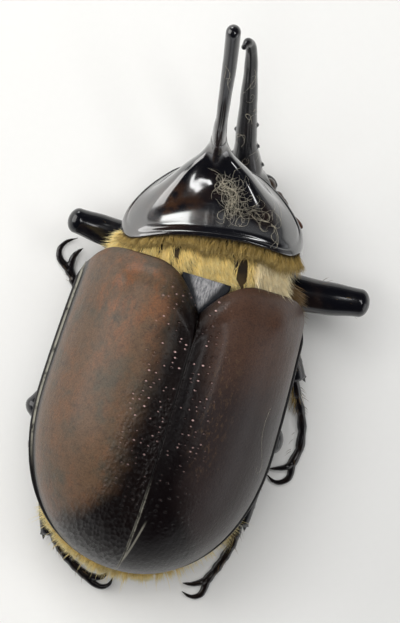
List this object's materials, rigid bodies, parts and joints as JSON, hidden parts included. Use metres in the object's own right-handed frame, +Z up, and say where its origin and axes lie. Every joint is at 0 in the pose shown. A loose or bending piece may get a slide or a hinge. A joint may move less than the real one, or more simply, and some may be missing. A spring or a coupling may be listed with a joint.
{
  "type": "golofa beetle",
  "caption": "Still life-size golofa beetle: domed brown wing cases, golden hair ruff, black shield with a long horn, toothed head horn, folded legs.",
  "frame": {"origin": "on the floor, below the middle of the whole beetle's box", "axes": "+Y to the head along the body, +X to the beetle's right, +Z up"},
  "size_m": [0.0268, 0.0486, 0.0252],
  "materials": {
    "shell_black": "glossy near-black shell plate",
    "wing_case": "satin dark red-brown shell, finely pitted by the seam",
    "underside": "satin dark brown shell plate",
    "leg_black": "glossy black shell",
    "hair": "dense golden hair",
    "eye": "glossy black-brown eye",
    "antenna": "satin red-brown"
  },
  "bodies": {
    "root": {"abdomen": "underside", "antenna_left": "antenna", "antenna_right": "antenna", "cephalic_horn": "shell_black", "coxa_fore_left": "underside", "coxa_fore_right": "underside", "coxa_hind_left": "underside", "coxa_hind_right": "underside", "coxa_mid_left": "underside", "coxa_mid_right": "underside", "elytron_left": "wing_case", "elytron_right": "wing_case", "eye_left": "eye", "eye_right": "eye", "femur_fore_left": "leg_black", "femur_fore_right": "leg_black", "femur_hind_left": "leg_black", "femur_hind_right": "leg_black", "femur_mid_left": "leg_black", "femur_mid_right": "leg_black", "head": "shell_black", "labium": "underside", "mandible_left": "shell_black", "mandible_right": "shell_black", "mesothorax": "hair", "metathorax": "underside", "pronotal_horn": "shell_black", "pronotum": "shell_black", "prosternum": "underside", "pygidium": "underside", "scutellum": "shell_black", "tarsus_fore_left": "leg_black", "tarsus_fore_right": "leg_black", "tarsus_hind_left": "leg_black", "tarsus_hind_right": "leg_black", "tarsus_mid_left": "leg_black", "tarsus_mid_right": "leg_black", "tibia_fore_left": "leg_black", "tibia_fore_right": "leg_black", "tibia_hind_left": "leg_black", "tibia_hind_right": "leg_black", "tibia_mid_left": "leg_black", "tibia_mid_right": "leg_black"}
  },
  "joints": []
}
